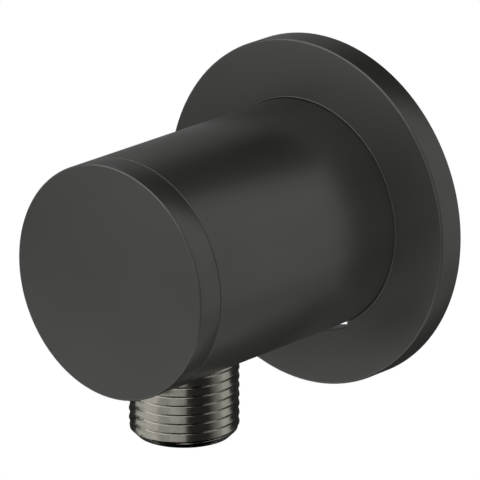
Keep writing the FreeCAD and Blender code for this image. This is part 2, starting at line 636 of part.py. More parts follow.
def make_valve_guide():
    """The spider at the bottom of the cage: a ring and a hub joined by ribs."""
    body = new_body("valve_guide")
    bind(body, Placement__Base__y="-outlet_reach")
    plan = sketch_on(body, "ring_outline", "XY_Plane", "-guide_bottom")
    circle(plan, "guide_radius")
    circle(plan, "guide_radius - guide_ring_wall")
    add_to(body, "outer_ring", plan, "guide_thickness")
    rib = sketch_on(body, "rib_outline", "XY_Plane", "-guide_bottom")
    middle = "(guide_radius - guide_ring_wall / 2)"
    half = "guide_rib_width / 2"
    outline(rib, [(f"-{half}", "0"), (half, "0"), (half, middle), (f"-{half}", middle)])
    arm = add_to(body, "rib", rib, "guide_thickness")
    fan = body.newObject("PartDesign::PolarPattern", "ribs")
    fan.Originals = [arm]
    fan.Axis = (rib, ["N_Axis"])
    bind(fan, Occurrences="guide_rib_count")
    body.Tip = fan
    doc.recompute()
    hub = sketch_on(body, "hub_outline", "XY_Plane", "-guide_bottom")
    circle(hub, "guide_hub_radius")
    add_to(body, "hub", hub, "guide_thickness")
    bore = sketch_on(body, "bore_outline", "XY_Plane", "-guide_top")
    circle(bore, "stem_radius + stem_clearance")
    cut_from(body, "stem_bore", bore, "guide_thickness")


def add_to(body, name, sketch, height):
    """Pad the sketch's shape along its normal."""
    feature = body.newObject("PartDesign::Pad", name)
    feature.Profile = sketch
    bind(feature, Length=height)
    body.Tip = feature
    doc.recompute()
    return feature


def make_valve_poppet():
    """The moving part of the valve: a nose in the seat's opening, a head and a stem."""
    body = new_body("valve_poppet")
    bind(body, Placement__Base__y="-outlet_reach")
    turned(body, "moulded_poppet", "XZ_Plane", "V_Axis", [
        ("0", "-(head_top - nose_length)"), ("nose_radius - nose_bevel", "-(head_top - nose_length)"),
        ("nose_radius", "-(head_top - nose_length + nose_bevel)"), ("nose_radius", "-head_top"),
        ("head_radius", "-head_top"), ("head_radius", "-head_bottom"), ("stem_radius", "-head_bottom"),
        ("stem_radius", "-stem_end"), ("0", "-stem_end"),
    ])


def make_poppet_seal():
    """The flat rubber ring round the nose, on the head."""
    body = new_body("poppet_seal")
    bind(body, Placement__Base__y="-outlet_reach")
    plan = sketch_on(body, "ring_outline", "XY_Plane", "-head_top")
    circle(plan, "head_radius")
    circle(plan, "nose_radius")
    add_to(body, "flat_ring", plan, "poppet_ring_thickness")


def make_valve_spring():
    """The compression spring between the guide's hub and the poppet's head."""
    path = doc.addObject("Part::Helix", "spring_path")
    bind(
        path,
        Radius="spring_radius",
        Height="spring_bottom - spring_top",
        Pitch="(spring_bottom - spring_top) / spring_turns",
        SegmentLength="spring_span",
        Placement__Base__y="-outlet_reach",
        Placement__Base__z="-spring_bottom",
    )
    wire = doc.addObject("Part::Circle", "spring_wire")
    wire.Placement = FreeCAD.Placement(FreeCAD.Vector(), ALONG_BODY)
    bind(
        wire,
        Radius="spring_wire_radius",
        Placement__Base__x="spring_radius",
        Placement__Base__y="-outlet_reach",
        Placement__Base__z="-spring_bottom",
    )
    spring = doc.addObject("Part::Sweep", "valve_spring")
    spring.Label = "valve_spring"
    spring.Sections = [wire]
    spring.Spine = (path, [])
    spring.Solid = True
    spring.Frenet = True
    PARTS.append(spring)


make_rosette()
ring("rosette_seal", "rim_inner_radius - foam_clearance", "hub_radius + foam_clearance", "0", "foam_depth")
make_housing()
make_front_cap()
make_cap_o_ring()
make_wall_nipple()
make_spigot_o_rings()
make_grub_screw()
make_outlet_nipple()
make_outlet_rings()
make_valve_cage()
make_valve_guide()
make_valve_poppet()
make_poppet_seal()
make_valve_spring()
doc.recompute()

# Each object is checked before anything is written

for thing in doc.Objects:
    if "Invalid" in thing.State or "Error" in thing.State:
        sys.exit(f"{thing.Label} failed: {thing.State}")
for piece in PARTS:
    if piece.Shape.isNull() or not piece.Shape.isValid():
        sys.exit(f"{piece.Label} has no valid shape")

os.makedirs("parts", exist_ok=True)
for piece in PARTS:
    piece.Shape.exportStep(f"parts/{piece.Label}.step")
    print(f"{piece.Label}: {len(piece.Shape.Solids)} solid(s), {piece.Shape.Volume:.1f} mm3")
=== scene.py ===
"""The look of a shower wall outlet elbow: matt black housing and rosette, dark nickel outlet thread.

Everything is in metres in the frame of the solids: the wall is the plane Y = 0, the housing reaches out of it
along -Y, and the outlet points down. MM turns a size in millimetres into metres.
"""

import math

import bmesh
import bpy
from mathutils import Matrix, Vector


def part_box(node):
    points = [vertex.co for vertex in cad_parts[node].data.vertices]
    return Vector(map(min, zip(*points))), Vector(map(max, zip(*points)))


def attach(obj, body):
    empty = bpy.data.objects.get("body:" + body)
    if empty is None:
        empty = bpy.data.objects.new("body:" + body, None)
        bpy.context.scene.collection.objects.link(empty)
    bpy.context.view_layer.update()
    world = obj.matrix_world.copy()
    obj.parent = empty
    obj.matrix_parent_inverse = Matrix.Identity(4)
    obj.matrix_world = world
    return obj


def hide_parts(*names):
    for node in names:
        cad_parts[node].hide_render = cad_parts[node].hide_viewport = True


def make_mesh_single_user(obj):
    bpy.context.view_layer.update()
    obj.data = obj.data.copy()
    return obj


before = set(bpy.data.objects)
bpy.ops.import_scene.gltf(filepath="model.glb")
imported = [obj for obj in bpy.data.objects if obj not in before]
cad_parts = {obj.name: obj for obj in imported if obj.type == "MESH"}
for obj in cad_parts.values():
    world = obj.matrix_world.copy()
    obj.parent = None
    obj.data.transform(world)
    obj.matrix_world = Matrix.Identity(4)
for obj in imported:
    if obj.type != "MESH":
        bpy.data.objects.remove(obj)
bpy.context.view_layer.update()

MM = 0.001
TURN = 2 * math.pi
DOWN = -math.pi / 2

# Places from the frame

ROSETTE_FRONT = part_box("rosette")[0].y
HOUSING_LOW, HOUSING_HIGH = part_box("housing")
CAP_LOW, CAP_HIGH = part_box("front_cap")
OUTLET_LOW, OUTLET_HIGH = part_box("outlet_nipple")
INLET_LOW, INLET_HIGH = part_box("wall_nipple")
SPRING_LOW, SPRING_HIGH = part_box("valve_spring")
OUTLET_Y = (OUTLET_LOW.y + OUTLET_HIGH.y) / 2

# Sizes of the turned pieces

ROSETTE_RADIUS = 34.1 * MM
ROSETTE_ROUND = 0.42 * MM
ROSETTE_FACE_WALL = 2.2 * MM
ROSETTE_RIM_WALL = 2.5 * MM
FOAM_RECESS_WIDTH = 4.2 * MM
HOUSING_RADIUS = 22.55 * MM
HOLE_RADIUS = HOUSING_RADIUS + 0.35 * MM
HOLE_ROUND = 0.12 * MM
LIP_GAP = 0.03 * MM
LIP_RISE = 0.1 * MM
LIP_THICKNESS = 0.8 * MM
LIP_END = math.radians(0.05)
NOTCH_HALF_WIDTH = 11.2 * MM
NOTCH_FLOOR = HOUSING_RADIUS + 1.0 * MM
NOTCH_CORNER = 0.9 * MM
CAVITY_RADIUS = HOUSING_RADIUS - 3.05 * MM
CAVITY_FLOOR = -17 * MM
RECESS_RADIUS = 15.2 * MM
RECESS_END = -13 * MM
INLET_BOSS_RADIUS = 13.6 * MM
OUTLET_BOSS_HALF_WIDTH = 12.25 * MM
BOSS_FRONT = -52.58 * MM
SPIGOT_BORE_RADIUS = 10.1 * MM
SPIGOT_BORE_END = -27.8 * MM
WATERWAY_RADIUS = 6.5 * MM
WATERWAY_END = -46.95 * MM
TAPPED_ROOF = -10.2 * MM
SCREW_Y = -8.5 * MM
SCREW_HOLE_RADIUS = 2.5 * MM
SCREW_HOLE_TOP = -7.6 * MM
CUTTER_INSET = 0.02 * MM
CUTTER_REACH = 5.65 * MM
SEAM_ROUND = 0.12 * MM
CAP_THICKNESS = 5.65 * MM
CAP_FACE_WALL = 2.8 * MM
CAP_ROUND = 0.35 * MM
CAP_SPIGOT_RADIUS = CAVITY_RADIUS - 0.2 * MM
CAP_SPIGOT_WALL = 2.7 * MM
CAP_GROOVE_WIDTH = 1.7 * MM
CAP_GROOVE_DEPTH = 1.3 * MM

# Sizes of the nipples and of their G1/2 threads

THREAD_RADIUS = 10.4775 * MM
THREAD_PITCH = 1.8143 * MM
THREAD_DEPTH = 0.34 * MM
THREAD_LONG_SIDE = 0.68 * THREAD_PITCH
THREAD_ROOT = 0.065 * THREAD_PITCH
THREAD_ROOT_RISE = 0.031 * MM
THREAD_ROUND = 0.025 * MM
THREAD_ROUND_SHARES = (-1, -0.5, 0, 0.5, 1)
THREAD_BEVEL = 1.5 * MM
OUTLET_CREST = -29.39 * MM
INLET_CREST = 6 * MM
OUTLET_THREAD_TOP = -18.5 * MM
OUTLET_HOLE_RADIUS = THREAD_RADIUS + 0.03 * MM
INLET_RELIEF = 1.5 * MM
SHANK_RADIUS = 10.2 * MM
SHANK_GROOVE_TOP = -11.9 * MM
SHANK_GROOVE_WIDTH = 2.2 * MM
SHANK_GROOVE_DEPTH = 1.3 * MM
OUTLET_MOUTH_RADIUS = 6.3 * MM
OUTLET_BORE_RADIUS = 7.5 * MM
OUTLET_SHOULDER = -15 * MM
BORE_ROUND = 0.35 * MM
COLLAR_RADIUS = 15 * MM
COLLAR_BACK = -0.3 * MM
COLLAR_END = -12 * MM
VEE_FLAT = 1.0 * MM
VEE_DEPTH = 1.3 * MM
SPIGOT_RADIUS = 10 * MM
SPIGOT_BEVEL = 0.8 * MM
SPIGOT_GROOVES = (-16.5 * MM, -21.5 * MM)
SPIGOT_GROOVE_WIDTH = 2.3 * MM
SPIGOT_GROOVE_DEPTH = 1.5 * MM
INLET_BORE_RADIUS = 6 * MM
HEX_ACROSS = 12 * MM
HEX_DEPTH = 12 * MM

# The valve's spring

SPRING_WIRE_RADIUS = 0.25 * MM
SPRING_TURNS = 4.5

# How finely round forms are divided, and how near each other points become one

ROUND_STEPS = 240
HOLE_STEPS = 100
CORNER_STEPS = 5
THREAD_STEPS = 180
SPARE_TURNS = 2
FLANK_STEPS = 3
WIRE_STEPS = 12
COIL_STEPS = 48
SHARP_ANGLE = math.radians(32)
MERGE_DISTANCE = 0.0001 * MM
WELD_DISTANCE = 0.002 * MM


def even_angles(steps):
    """Angles in even steps round a full turn."""
    return [TURN * step / steps for step in range(steps)]


def about_housing(angle, radius, along):
    """A point round the housing's axis; angles run from +X up to +Z."""
    return Vector((radius * math.cos(angle), along, radius * math.sin(angle)))


def about_outlet(angle, radius, along):
    """A point round the outlet's axis; angles run from +X to +Y."""
    return Vector((radius * math.cos(angle), OUTLET_Y + radius * math.sin(angle), along))


def soften(corners):
    """Outline points from corners of (radius, along), or of (radius, along, rounding) for round ones."""
    points = []
    for number, corner in enumerate(corners):
        here = Vector(corner[:2])
        if len(corner) == 2:
            points.append((here.x, here.y))
            continue
        rounding = corner[2]
        to_before = (Vector(corners[number - 1][:2]) - here).normalized()
        to_after = (Vector(corners[(number + 1) % len(corners)][:2]) - here).normalized()
        half = to_before.angle(to_after) / 2
        reach = rounding / math.tan(half)
        middle = here + (to_before + to_after).normalized() * rounding / math.sin(half)
        first = here + to_before * reach - middle
        last = here + to_after * reach - middle
        for step in range(CORNER_STEPS + 1):
            point = middle + rounding * first.slerp(last, step / CORNER_STEPS)
            points.append((point.x, point.y))
    return points


def groove(radius, depth, start, end):
    """Corners of a square groove in a round surface, from start to end along the axis."""
    return [(radius, start), (radius - depth, start), (radius - depth, end), (radius, end)]


def add_row(form, place, angles, radius, along):
    """Vertices round an axis; the radius and the place along it are numbers or functions of the angle."""
    if radius == 0:
        return [form.verts.new(place(0, 0, along))]

    def at(value, angle):
        return value(angle) if callable(value) else value

    return [form.verts.new(place(angle, at(radius, angle), at(along, angle))) for angle in angles]


def skin(form, rows, shift=0):
    """Faces between neighbouring rows; a row of one vertex is a pole.

    With a shift, the rows follow a helix, and the end of each joins the start of the row that many rows on.
    """
    for number, (row, after) in enumerate(zip(rows, rows[1:])):
        count = max(len(row), len(after))
        for step in range(count):
            last = step == count - 1
            if last and shift:
                if number + 1 + shift >= len(rows):
                    continue
                corners = (row[step], rows[number + shift][0], rows[number + 1 + shift][0], after[step])
            else:
                turn = (step + 1) % count
                corners = (
                    row[step % len(row)], row[turn % len(row)],
                    after[turn % len(after)], after[step % len(after)],
                )
            corners = list(dict.fromkeys(corners))
            if len(corners) > 2:
                form.faces.new(corners)


def shade(mesh):
    """Smooth shading that breaks at sharp edges."""
    for face in mesh.polygons:
        face.use_smooth = True
    mesh.set_sharp_from_angle(angle=SHARP_ANGLE)


def own_mesh(name, build):
    """A new object with the mesh that build makes, smooth except at its sharp edges."""
    form = bmesh.new()
    build(form)
    bmesh.ops.remove_doubles(form, verts=form.verts, dist=MERGE_DISTANCE)
    bmesh.ops.recalc_face_normals(form, faces=form.faces)
    mesh = bpy.data.meshes.new(name)
    form.to_mesh(mesh)
    form.free()
    shade(mesh)
    piece = bpy.data.objects.new(name, mesh)
    bpy.context.scene.collection.objects.link(piece)
    return piece


def turned(name, place, outline, steps=ROUND_STEPS):
    """A solid turned from a closed outline of (radius, along) points."""

    def build(form):
        angles = even_angles(steps)
        rows = [add_row(form, place, angles, radius, along) for radius, along in outline]
        skin(form, rows + rows[:1])

    return own_mesh(name, build)


def prism(name, outline, start, end):
    """A solid between two planes across the housing's axis, from a closed outline of (x, z) points."""

    def build(form):
        rows = [[form.verts.new((x, along, z)) for x, z in outline] for along in (start, end)]
        skin(form, rows)
        for row in rows:
            form.faces.new(row)

    return own_mesh(name, build)


def cut_away(piece, *cutters):
    """Cut other solids out of a piece, and weld the slivers that this leaves."""
    for cutter in cutters:
        change = piece.modifiers.new("cut", "BOOLEAN")
        change.operation = "DIFFERENCE"
        change.solver = "EXACT"
        change.object = cutter
    bpy.context.view_layer.update()
    shown = piece.evaluated_get(bpy.context.evaluated_depsgraph_get())
    mesh = bpy.data.meshes.new_from_object(shown)
    form = bmesh.new()
    form.from_mesh(mesh)
    bmesh.ops.remove_doubles(form, verts=form.verts, dist=WELD_DISTANCE)
    bmesh.ops.dissolve_degenerate(form, edges=form.edges, dist=WELD_DISTANCE)
    form.to_mesh(mesh)
    form.free()
    piece.modifiers.clear()
    piece.data = mesh
    shade(mesh)
    for cutter in cutters:
        bpy.data.objects.remove(cutter)


# The rosette

def notch_turns():
    """Angles from straight down at which the notch opens, its side ends and its floor ends.

    The last value is the centre of its corner, as (across, down).
    """
    corner_x = NOTCH_HALF_WIDTH - NOTCH_CORNER
    corner_down = math.sqrt((NOTCH_FLOOR - NOTCH_CORNER) ** 2 - corner_x**2)
    return (
        math.asin(NOTCH_HALF_WIDTH / HOLE_RADIUS),
        math.atan2(NOTCH_HALF_WIDTH, corner_down),
        math.atan2(corner_x, corner_down),
        Vector((corner_x, corner_down)),
    )


def turn_from_down(angle):
    """How far an angle is from straight down, to either side."""
    return abs((angle + DOWN) % TURN - math.pi)


def hole_edge(angle):
    """Radius of the rosette's hole, with the drain notch in its lowest part."""
    opens, side_ends, floor_ends, corner = notch_turns()
    turn = turn_from_down(angle)
    if turn >= opens:
        return HOLE_RADIUS
    if turn <= floor_ends:
        return NOTCH_FLOOR
    if turn >= side_ends:
        return NOTCH_HALF_WIDTH / math.sin(turn)
    reach = Vector((math.sin(turn), math.cos(turn))).dot(corner)
    return reach + math.sqrt(reach**2 - corner.length_squared + NOTCH_CORNER**2)


def rosette_angles():
    """Even steps round the rosette, and finer ones round the notch's corners and where its lip ends."""
    opens, side_ends, floor_ends, corner = notch_turns()
    turns = [opens, opens + LIP_END]
    for step in range(CORNER_STEPS + 1):
        turns.append(side_ends + (floor_ends - side_ends) * step / CORNER_STEPS)
    angles = even_angles(ROUND_STEPS)
    for turn in turns:
        angles += [(DOWN + turn) % TURN, (DOWN - turn) % TURN]
    return sorted(angles)


def has_lip(angle):
    """Whether the hole has its lip at an angle: everywhere but in the notch."""
    return turn_from_down(angle) >= notch_turns()[0]


def lip_edge(angle):
    """Radius of the inside of the lip, which closes the gap round the housing but leaves the notch open."""
    return HOUSING_RADIUS + LIP_GAP if has_lip(angle) else hole_edge(angle)


def make_rosette():
    """The cover plate, hollow behind; round its hole it has a hub, a rounded lip and the drain notch."""
    front = ROSETTE_FRONT
    floor = front + ROSETTE_FACE_WALL
    rim = ROSETTE_RADIUS - ROSETTE_RIM_WALL
    hub = rim - FOAM_RECESS_WIDTH
    outline = soften([
        (hub, 0), (hub, floor), (rim, floor), (rim, 0),
        (ROSETTE_RADIUS, 0), (ROSETTE_RADIUS, front, ROSETTE_ROUND), (hub, front),
    ])

    def build(form):
        angles = rosette_angles()
        rows = [add_row(form, about_housing, angles, radius, along) for radius, along in outline]
        rows.append(add_row(form, about_housing, angles, lambda angle: hole_edge(angle) + HOLE_ROUND, front))
        for step in range(2 * CORNER_STEPS + 1):
            turn = math.pi * step / (2 * CORNER_STEPS)
            share = (1 + math.cos(turn)) / 2
            rise = LIP_RISE * math.sin(turn)
            rows.append(add_row(
                form, about_housing, angles,
                lambda angle: lip_edge(angle) + (hole_edge(angle) - lip_edge(angle)) * share,
                lambda angle: front - rise * has_lip(angle),
            ))
        rows.append(add_row(form, about_housing, angles, lip_edge, front + LIP_THICKNESS))
        rows.append(add_row(form, about_housing, angles, hole_edge, front + LIP_THICKNESS))
        rows.append(add_row(form, about_housing, angles, hole_edge, 0))
        skin(form, rows + rows[:1])

    return own_mesh("rosette_plate", build)


# The housing and its cap

def arc(radius, start, end, steps):
    """Points (x, z) along an arc about the housing's axis, from angle start to angle end."""
    turns = [start + (end - start) * step / steps for step in range(steps + 1)]
    return [(radius * math.cos(turn), radius * math.sin(turn)) for turn in turns]


def make_housing():
    """The shell with its rear recess, and in its front cavity the boss that holds the waterway.

    The cutters lie CUTTER_INSET inside the surfaces that they would otherwise only graze, and run
    CUTTER_REACH past what they cut.
    """
    front, back = HOUSING_LOW.y, HOUSING_HIGH.y
    shell = turned("housing_shell", about_housing, soften([
        (RECESS_RADIUS, back), (HOUSING_RADIUS, back, SEAM_ROUND), (HOUSING_RADIUS, front, SEAM_ROUND),
        (CAVITY_RADIUS, front), (CAVITY_RADIUS, BOSS_FRONT), (0, BOSS_FRONT), (0, WATERWAY_END),
        (WATERWAY_RADIUS, WATERWAY_END), (WATERWAY_RADIUS, SPIGOT_BORE_END),
        (SPIGOT_BORE_RADIUS, SPIGOT_BORE_END), (SPIGOT_BORE_RADIUS, RECESS_END), (RECESS_RADIUS, RECESS_END),
    ]))
    outer = math.asin(OUTLET_BOSS_HALF_WIDTH / CAVITY_RADIUS)
    inner = math.asin(OUTLET_BOSS_HALF_WIDTH / INLET_BOSS_RADIUS)
    cavity = prism(
        "cavity_cutter",
        arc(CAVITY_RADIUS - CUTTER_INSET, DOWN + outer, DOWN + TURN - outer, ROUND_STEPS)
        + arc(INLET_BOSS_RADIUS, DOWN + TURN - inner, DOWN + inner, ROUND_STEPS),
        BOSS_FRONT - CUTTER_REACH, CAVITY_FLOOR,
    )
    below = HOUSING_LOW.z - CUTTER_REACH
    drop_radius = WATERWAY_RADIUS - CUTTER_INSET
    outlet_hole = turned("outlet_cutter", about_outlet, [
        (0, 0), (drop_radius, 0), (drop_radius, TAPPED_ROOF), (OUTLET_HOLE_RADIUS, TAPPED_ROOF),
        (OUTLET_HOLE_RADIUS, below), (0, below),
    ])
    screw_hole = turned("screw_cutter", about_outlet, [
        (0, SCREW_HOLE_TOP), (SCREW_HOLE_RADIUS, SCREW_HOLE_TOP), (SCREW_HOLE_RADIUS, below), (0, below),
    ], HOLE_STEPS)
    screw_hole.data.transform(Matrix.Translation((0, SCREW_Y - OUTLET_Y, 0)))
    cut_away(shell, cavity, outlet_hole, screw_hole)
    return shell


def make_front_cap():
    """The front disc with its softly rounded edge, and the spigot behind it with a groove for its ring."""
    face, end = CAP_LOW.y, CAP_HIGH.y
    seam = face + CAP_THICKNESS
    middle = (seam + end) / 2
    half = CAP_GROOVE_WIDTH / 2
    hollow = CAP_SPIGOT_RADIUS - CAP_SPIGOT_WALL
    return turned("front_cap_disc", about_housing, soften([
        (0, face), (HOUSING_RADIUS, face, CAP_ROUND), (HOUSING_RADIUS, seam, SEAM_ROUND),
        (CAP_SPIGOT_RADIUS, seam),
        *groove(CAP_SPIGOT_RADIUS, CAP_GROOVE_DEPTH, middle - half, middle + half),
        (CAP_SPIGOT_RADIUS, end), (hollow, end), (hollow, face + CAP_FACE_WALL), (0, face + CAP_FACE_WALL),
    ]))


# Threads

def thread_corners():
    """Corners (distance from a crest, depth below it) of one pitch: long side, root and short steep side."""
    return (
        (0, 0),
        (THREAD_LONG_SIDE, THREAD_DEPTH),
        (THREAD_LONG_SIDE + THREAD_ROOT, THREAD_DEPTH - THREAD_ROOT_RISE),
        (THREAD_PITCH, 0),
    )


def thread_depth(from_crest):
    """Depth below the crests at a distance from one, measured along the axis."""
    beyond = from_crest % THREAD_PITCH
    for (start, depth), (end, next_depth) in zip(thread_corners(), thread_corners()[1:]):
        if beyond <= end:
            return depth + (next_depth - depth) * (beyond - start) / (end - start)
    return 0


def thread_stations():
    """Distances from a crest, over one pitch, at which the thread's surface has its rows."""
    stations = []
    for (start, depth), (end, next_depth) in zip(thread_corners(), thread_corners()[1:]):
        first, last = start + THREAD_ROUND, end - THREAD_ROUND
        stations += [start, start + THREAD_ROUND / 2]
        stations += [first + (last - first) * step / FLANK_STEPS for step in range(FLANK_STEPS + 1)]
        stations.append(end - THREAD_ROUND / 2)
    return stations


def thread_edge(angle, along, crest, free_end, hand):
    """Radius of the threaded surface at an angle and a place along the axis, bevelled near its free end.

    crest is where a crest crosses angle zero, and hand is 1 where angles run right-handed about the axis.
    """
    from_crest = along - crest - hand * THREAD_PITCH * angle / TURN
    depths = [thread_depth(from_crest + THREAD_ROUND * share) for share in THREAD_ROUND_SHARES]
    depth = sum(depths) / len(depths)
    bevel = max(0, THREAD_BEVEL - abs(along - free_end))
    return THREAD_RADIUS - max(depth, bevel)


def thread_surface(form, place, crest, low, high, free_end, hand):
    """The right-handed thread between low and high; its rows follow the helix and stop at both ends."""
    stations = thread_stations()
    first = math.floor((low - crest) / THREAD_PITCH) - SPARE_TURNS
    last = math.ceil((high - crest) / THREAD_PITCH) + SPARE_TURNS
    rows = []
    for turn in range(first, last):
        for station in stations:
            row = []
            for angle in even_angles(THREAD_STEPS):
                lead = hand * THREAD_PITCH * angle / TURN
                along = min(max(crest + THREAD_PITCH * turn + station + lead, low), high)
                radius = thread_edge(angle, along, crest, free_end, hand)
                row.append(form.verts.new(place(angle, radius, along)))
            rows.append(row)
    if hand < 0:
        rows.reverse()
    skin(form, rows, len(stations))


def threaded(name, place, outline, crest, ends, free_end, hand):
    """A solid with a thread between two ends; the outline holds the rest of it, from one end to the other."""

    def build(form):
        angles = even_angles(THREAD_STEPS)

        def end_row(along):
            return add_row(
                form, place, angles, lambda angle: thread_edge(angle, along, crest, free_end, hand), along)

        rows = [end_row(ends[0])]
        rows += [add_row(form, place, angles, radius, along) for radius, along in outline]
        rows.append(end_row(ends[1]))
        skin(form, rows)
        thread_surface(form, place, crest, min(ends), max(ends), free_end, hand)

    return own_mesh(name, build)


def make_outlet_nipple():
    """The outlet: a shank with a ring groove in the housing, the thread, and the bore with its shoulder.

    The outline's first corner gives the bore's rounding its direction; the thread ends there.
    """
    top, end = OUTLET_HIGH.z, OUTLET_LOW.z
    outline = soften([
        (THREAD_RADIUS - THREAD_BEVEL, end), (OUTLET_BORE_RADIUS, end, BORE_ROUND),
        (OUTLET_BORE_RADIUS, OUTLET_SHOULDER), (OUTLET_MOUTH_RADIUS, OUTLET_SHOULDER),
        (OUTLET_MOUTH_RADIUS, top), (SHANK_RADIUS, top),
        *groove(SHANK_RADIUS, SHANK_GROOVE_DEPTH, SHANK_GROOVE_TOP, SHANK_GROOVE_TOP - SHANK_GROOVE_WIDTH),
        (SHANK_RADIUS, OUTLET_THREAD_TOP),
    ])
    return threaded(
        "outlet_thread", about_outlet, outline[1:], OUTLET_CREST, (end, OUTLET_THREAD_TOP), end, 1)


def hexagon_edge(angle):
    """Radius of the key hexagon at an angle."""
    sixth = TURN / 6
    return HEX_ACROSS / 2 / math.cos((angle + sixth / 2) % sixth - sixth / 2)


def make_wall_nipple():
    """The nipple in the wall: thread, collar with a V groove, spigot with ring grooves, and key hexagon."""
    end, spigot_end = INLET_HIGH.y, INLET_LOW.y
    vee = VEE_FLAT + VEE_DEPTH
    hex_end = spigot_end + HEX_DEPTH
    root = THREAD_RADIUS - THREAD_DEPTH
    outline = [
        (root, INLET_RELIEF), (root, COLLAR_BACK), (COLLAR_RADIUS, COLLAR_BACK),
        (COLLAR_RADIUS, SCREW_Y + vee), (COLLAR_RADIUS - VEE_DEPTH, SCREW_Y + VEE_FLAT),
        (COLLAR_RADIUS - VEE_DEPTH, SCREW_Y - VEE_FLAT), (COLLAR_RADIUS, SCREW_Y - vee),
        (COLLAR_RADIUS, COLLAR_END), (SPIGOT_RADIUS, COLLAR_END),
    ]
    for middle in SPIGOT_GROOVES:
        half = SPIGOT_GROOVE_WIDTH / 2
        outline += groove(SPIGOT_RADIUS, SPIGOT_GROOVE_DEPTH, middle + half, middle - half)
    outline += [
        (SPIGOT_RADIUS, spigot_end + SPIGOT_BEVEL), (SPIGOT_RADIUS - SPIGOT_BEVEL, spigot_end),
        (hexagon_edge, spigot_end), (hexagon_edge, hex_end),
        (INLET_BORE_RADIUS, hex_end), (INLET_BORE_RADIUS, end),
    ]
    return threaded("wall_nipple_thread", about_housing, outline, INLET_CREST, (INLET_RELIEF, end), end, -1)


# The valve's spring

def make_spring():
    """A helix of round wire between the guide's hub and the poppet's head."""
    low, high = SPRING_LOW.z + SPRING_WIRE_RADIUS, SPRING_HIGH.z - SPRING_WIRE_RADIUS
    coil_radius = (SPRING_HIGH.x - SPRING_LOW.x) / 2 - SPRING_WIRE_RADIUS
    steps = round(SPRING_TURNS * COIL_STEPS)
    climb = math.atan2(high - low, TURN * SPRING_TURNS * coil_radius)

    def build(form):
        rings = []
        for step in range(steps + 1):
            turn = TURN * SPRING_TURNS * step / steps
            out = Vector((math.cos(turn), math.sin(turn), 0))
            middle = Vector((0, OUTLET_Y, low + (high - low) * step / steps)) + out * coil_radius
            along = Vector((-out.y, out.x, 0))
            up = Vector((0, 0, 1)) * math.cos(climb) - along * math.sin(climb)
            rings.append([
                form.verts.new(middle + (out * math.cos(bend) + up * math.sin(bend)) * SPRING_WIRE_RADIUS)
                for bend in even_angles(WIRE_STEPS)
            ])
        skin(form, rings)
        for ring in (rings[0], rings[-1]):
            form.faces.new(ring)

    return own_mesh("spring_coil", build)


# Materials

NOISE_LOW = 0.3
NOISE_HIGH = 0.7
OUTLET_TURNING = (0.05, 0.05, 14)
INLET_TURNING = (0.05, 14, 0.05)
PORE_SCALE = 2200


def new_material(name, **values):
    """A Principled material, its nodes and its shader, with the given values set on the shader's sockets."""
    made = bpy.data.materials.new(name)
    made.use_nodes = True
    shader = made.node_tree.nodes["Principled BSDF"]
    for socket, value in values.items():
        shader.inputs[socket.replace("_", " ")].default_value = value
    return made, made.node_tree, shader


def noise(tree, scale, detail, stretch=(1, 1, 1)):
    """A noise node over the object's own coordinates, stretched along its axes."""
    place = tree.nodes.new("ShaderNodeTexCoord")
    mapping = tree.nodes.new("ShaderNodeMapping")
    mapping.inputs["Scale"].default_value = stretch
    texture = tree.nodes.new("ShaderNodeTexNoise")
    texture.inputs["Scale"].default_value = scale
    texture.inputs["Detail"].default_value = detail
    tree.links.new(place.outputs["Object"], mapping.inputs["Vector"])
    tree.links.new(mapping.outputs["Vector"], texture.inputs["Vector"])
    return texture.outputs["Fac"]


def gloss(tree, shader, value, low, high):
    """The shader's roughness, between two levels that a texture's value mixes."""
    node = tree.nodes.new("ShaderNodeMapRange")
    node.inputs["From Min"].default_value = NOISE_LOW
    node.inputs["From Max"].default_value = NOISE_HIGH
    node.inputs["To Min"].default_value = low
    node.inputs["To Max"].default_value = high
    tree.links.new(value, node.inputs["Value"])
    tree.links.new(node.outputs["Result"], shader.inputs["Roughness"])


def tint(tree, shader, value, dark, light):
    """The shader's colour, between two that a texture's value mixes."""
    node = tree.nodes.new("ShaderNodeValToRGB")
    ends = node.color_ramp.elements
    for end, position, colour in zip(ends, (NOISE_LOW, NOISE_HIGH), (dark, light)):
        end.position = position
        end.color = (*colour, 1)
    tree.links.new(value, node.inputs["Fac"])
    tree.links.new(node.outputs["Color"], shader.inputs["Base Color"])


def bump(tree, shader, height, distance, strength):
    """Relief of a given depth on the shader's normal."""
    node = tree.nodes.new("ShaderNodeBump")
    node.inputs["Distance"].default_value = distance
    node.inputs["Strength"].default_value = strength
    tree.links.new(height, node.inputs["Height"])
    tree.links.new(node.outputs["Normal"], shader.inputs["Normal"])


def black_coat():
    """Matt black coat: faint clouds in its colour, small changes in its gloss and a very fine grain."""
    made, tree, shader = new_material("black_coat")
    cloud = noise(tree, scale=60, detail=3)
    tint(tree, shader, cloud, dark=(0.0194, 0.0195, 0.0170), light=(0.0230, 0.0231, 0.0203))
    gloss(tree, shader, noise(tree, scale=900, detail=4), low=0.29, high=0.33)
    bump(tree, shader, noise(tree, scale=5200, detail=2), distance=0.004 * MM, strength=0.35)
    return made


def nickel():
    """Satin dark nickel, with faint blotches and fine turning lines round the outlet's axis."""
    made, tree, shader = new_material("dark_nickel", Metallic=1)
    blotch = noise(tree, scale=420, detail=4)
    lines = noise(tree, scale=900, detail=3, stretch=OUTLET_TURNING)
    tint(tree, shader, blotch, dark=(0.285, 0.271, 0.236), light=(0.345, 0.331, 0.293))
    gloss(tree, shader, lines, low=0.14, high=0.24)
    bump(tree, shader, lines, distance=0.006 * MM, strength=0.25)
    return made


